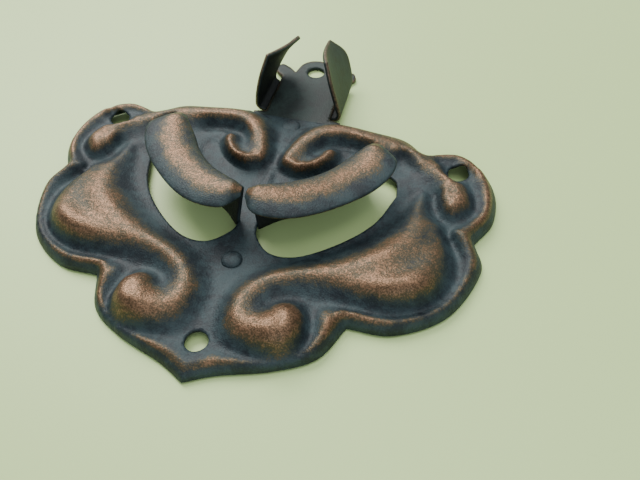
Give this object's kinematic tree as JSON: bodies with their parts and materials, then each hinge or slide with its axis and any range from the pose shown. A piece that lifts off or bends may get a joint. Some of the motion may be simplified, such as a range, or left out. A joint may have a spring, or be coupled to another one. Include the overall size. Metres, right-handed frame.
{
  "type": "ornamental hooded wall plate with spring clip",
  "caption": "Stamped oxidised-copper scroll plate with raised crescent hoods over slots, screw holes, and a strap ending in a sprung pronged clip.",
  "frame": {"origin": "on the back plane, on the centre line, behind the bridge between the two slots", "axes": "+X to the right seen from the front, +Y from the pointed tip towards the clip, +Z out of the wall"},
  "size_m": [0.0928, 0.0898, 0.0147],
  "materials": {
    "copper": "oxidised copper, worn brown on the raised work, blue-black in the hollows, satin",
    "dark_copper": "blackened copper, satin, slightly worn on edges"
  },
  "bodies": {
    "plate": {"face_plate": "copper", "left_hood": "copper", "right_hood": "copper", "clip_strap": "dark_copper", "lower_rivet": "copper", "upper_rivet": "copper"},
    "left_prong": {"left_prong": "dark_copper"},
    "right_prong": {"right_prong": "dark_copper"}
  },
  "joints": [
    {"name": "left_prong_flex", "type": "hinge", "parent": "plate", "child": "left_prong", "pos_m": [-0.0079, 0.041, 0.00045], "axis": [0, 1, 0], "range_deg": [-6, 3], "stiffness_Nm_per_rad": 0.5},
    {"name": "right_prong_flex", "type": "hinge", "parent": "plate", "child": "right_prong", "pos_m": [0.0079, 0.041, 0.00045], "axis": [0, 1, 0], "range_deg": [-3, 6], "stiffness_Nm_per_rad": 0.5}
  ]
}
